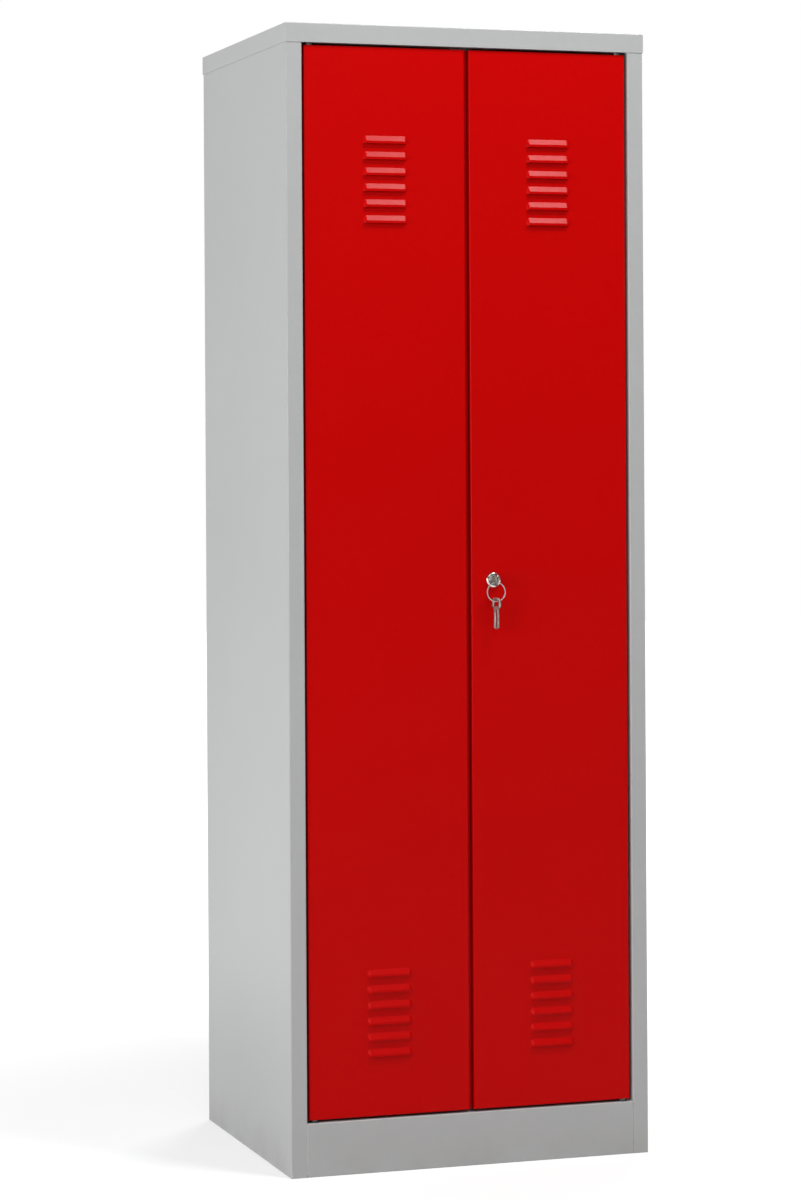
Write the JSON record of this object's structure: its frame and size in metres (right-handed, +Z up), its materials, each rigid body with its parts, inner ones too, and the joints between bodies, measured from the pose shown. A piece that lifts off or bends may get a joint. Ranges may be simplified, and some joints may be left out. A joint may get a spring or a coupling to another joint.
{
  "type": "clothing locker",
  "caption": "Tall two-door sheet-steel clothing locker on a plinth, with pressed louvres, pivot hinges, a cam lock with keys, hat shelves and clothes rails.",
  "frame": {"origin": "on the floor under the centre of the carcass", "axes": "+Z up, +X to the right of someone facing the doors, the doors face -Y"},
  "size_m": [0.6, 0.5195, 1.8],
  "materials": {
    "grey_paint": "light grey powder coat, satin with a fine texture",
    "red_paint": "bright red powder coat, satin",
    "zinc_steel": "bright zinc plating",
    "bright_metal": "nickel plating, polished",
    "black_rubber": "matt",
    "dark_plastic": "moulded nylon, matt"
  },
  "bodies": {
    "carcass": {"top_cap": "grey_paint", "plinth": "grey_paint", "bottom_panel": "grey_paint", "back_panel": "grey_paint", "centre_partition": "grey_paint", "centre_post": "grey_paint", "left_side_panel": "grey_paint", "right_side_panel": "grey_paint", "left_hat_shelf": "grey_paint", "right_hat_shelf": "grey_paint", "left_clothes_rail": "zinc_steel", "right_clothes_rail": "zinc_steel", "rail_sockets": "dark_plastic", "hinge_bushes": "dark_plastic", "door_buffers": "black_rubber", "magnet_catches": "dark_plastic"},
    "left_door": {"left_door_panel": "red_paint", "left_door_stiffener": "red_paint", "left_hinge_plates": "zinc_steel", "left_hinge_pins": "zinc_steel", "closing_strip": "red_paint"},
    "right_door": {"right_door_panel": "red_paint", "right_door_stiffener": "red_paint", "right_hinge_plates": "zinc_steel", "right_hinge_pins": "zinc_steel", "lock_housing": "bright_metal", "lock_nut": "zinc_steel"},
    "lock_barrel": {"lock_plug": "bright_metal", "lock_cam": "zinc_steel", "cam_screw": "zinc_steel"},
    "key": {"key": "bright_metal"},
    "key_ring": {"key_ring": "zinc_steel"},
    "spare_key": {"spare_key": "bright_metal"}
  },
  "joints": [
    {"name": "left_door_hinge", "type": "hinge", "parent": "carcass", "child": "left_door", "pos_m": [-0.2585, -0.2385, 0.926], "axis": [0, 0, -1], "range_deg": [0, 110]},
    {"name": "right_door_hinge", "type": "hinge", "parent": "carcass", "child": "right_door", "pos_m": [0.2585, -0.2385, 0.926], "axis": [0, 0, 1], "range_deg": [0, 110]},
    {"name": "lock_turn", "type": "hinge", "parent": "right_door", "child": "lock_barrel", "pos_m": [0.04, -0.2505, 0.926], "axis": [0, 1, 0], "range_deg": [0, 90]},
    {"name": "key_slide", "type": "slide", "parent": "lock_barrel", "child": "key", "axis": [0, -1, 0], "range_m": [0, 0.033]},
    {"name": "key_ring_swing", "type": "hinge", "parent": "key", "child": "key_ring", "pos_m": [0.04, -0.2605, 0.91875], "axis": [0, 1, 0], "range_deg": [-90, 0]},
    {"name": "spare_key_swing", "type": "hinge", "parent": "key_ring", "child": "spare_key", "pos_m": [0.04, -0.2605, 0.8925], "axis": [-1, 0, 0], "range_deg": [-8, 60]}
  ],
  "couplings": [
    {"joint": "key_ring_swing", "follows": "lock_turn", "ratio": -1}
  ]
}
